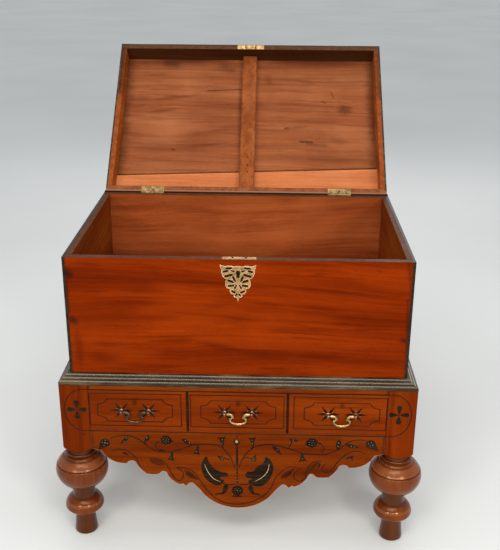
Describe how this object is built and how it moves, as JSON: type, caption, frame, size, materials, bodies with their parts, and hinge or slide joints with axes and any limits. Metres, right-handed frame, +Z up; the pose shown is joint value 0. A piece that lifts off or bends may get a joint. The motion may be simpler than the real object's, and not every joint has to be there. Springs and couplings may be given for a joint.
{
  "type": "marriage chest on a stand",
  "caption": "Wooden chest on a stand with a hinged lid, a box lock with link plate, drawers with swinging bail handles, a shaped apron and turned legs.",
  "frame": {"origin": "on the floor, midway under the chest's bounding box with the lid open as it rests", "axes": "+Z up, +X to the right as seen from the front, the front faces -Y"},
  "size_m": [1.047, 1.1799, 1.2813],
  "materials": {
    "box_wood": "waxed, satin",
    "stand_wood": "waxed, satin",
    "leg_wood": "polished",
    "lid_wood": "worn, dull",
    "pale_wood": "worn, dull",
    "inner_wood": "bare",
    "ebony": "worn polish",
    "brass": "aged",
    "steel": "dull"
  },
  "bodies": {
    "chest": {"leg_front_left": "leg_wood", "leg_front_right": "leg_wood", "leg_back_left": "leg_wood", "leg_back_right": "leg_wood", "apron_front": "stand_wood", "rail_top_front": "stand_wood", "rail_back": "stand_wood", "rail_left": "stand_wood", "rail_right": "stand_wood", "drawer_bearers": "inner_wood", "divider_left": "inner_wood", "divider_right": "inner_wood", "moulding": "ebony", "box_front": "box_wood", "box_back": "box_wood", "box_left": "box_wood", "box_right": "box_wood", "box_floor": "box_wood", "box_edging_left": "ebony", "box_edging_right": "ebony", "lock_case": "brass", "escutcheon": "brass", "hinge_leaf_box_left": "brass", "hinge_leaf_box_right": "brass"},
    "lid": {"lid_rail_front": "lid_wood", "lid_rail_back": "lid_wood", "lid_rail_left": "lid_wood", "lid_rail_right": "lid_wood", "lid_board_main": "lid_wood", "lid_board_narrow": "pale_wood", "lid_batten": "lid_wood", "lid_edging": "ebony", "link_plate": "brass", "hinge_leaf_lid_left": "brass", "hinge_leaf_lid_right": "brass"},
    "lock_bolt": {"lock_bolt": "steel"},
    "drawer_left": {"drawer_front_left": "stand_wood", "drawer_side_left_left": "inner_wood", "drawer_side_left_right": "inner_wood", "drawer_back_left": "inner_wood", "drawer_bottom_left": "inner_wood", "handle_post_left_left": "brass", "handle_post_left_right": "brass"},
    "drawer_centre": {"drawer_front_centre": "stand_wood", "drawer_side_centre_left": "inner_wood", "drawer_side_centre_right": "inner_wood", "drawer_back_centre": "inner_wood", "drawer_bottom_centre": "inner_wood", "handle_post_centre_left": "brass", "handle_post_centre_right": "brass"},
    "drawer_right": {"drawer_front_right": "stand_wood", "drawer_side_right_left": "inner_wood", "drawer_side_right_right": "inner_wood", "drawer_back_right": "inner_wood", "drawer_bottom_right": "inner_wood", "handle_post_right_left": "brass", "handle_post_right_right": "brass"},
    "handle_left": {"handle_bail_left": "brass"},
    "handle_centre": {"handle_bail_centre": "brass"},
    "handle_right": {"handle_bail_right": "brass"}
  },
  "joints": [
    {"name": "lid_hinge", "type": "hinge", "parent": "chest", "child": "lid", "pos_m": [0, 0.08796, 0.8609], "axis": [1, 0, 0], "range_deg": [0, 137]},
    {"name": "lock_bolt_slide", "type": "slide", "parent": "chest", "child": "lock_bolt", "axis": [1, 0, 0], "range_m": [0, 0.008]},
    {"name": "drawer_left_slide", "type": "slide", "parent": "chest", "child": "drawer_left", "axis": [0, -1, 0], "range_m": [0, 0.3]},
    {"name": "drawer_centre_slide", "type": "slide", "parent": "chest", "child": "drawer_centre", "axis": [0, -1, 0], "range_m": [0, 0.3]},
    {"name": "drawer_right_slide", "type": "slide", "parent": "chest", "child": "drawer_right", "axis": [0, -1, 0], "range_m": [0, 0.3]},
    {"name": "handle_left_swing", "type": "hinge", "parent": "drawer_left", "child": "handle_left", "pos_m": [-0.28167, -0.56564, 0.42405], "axis": [-1, 0, 0], "range_deg": [-8, 172]},
    {"name": "handle_centre_swing", "type": "hinge", "parent": "drawer_centre", "child": "handle_centre", "pos_m": [0.002, -0.56564, 0.42405], "axis": [-1, 0, 0], "range_deg": [-8, 172]},
    {"name": "handle_right_swing", "type": "hinge", "parent": "drawer_right", "child": "handle_right", "pos_m": [0.28567, -0.56564, 0.42405], "axis": [-1, 0, 0], "range_deg": [-8, 172]}
  ]
}
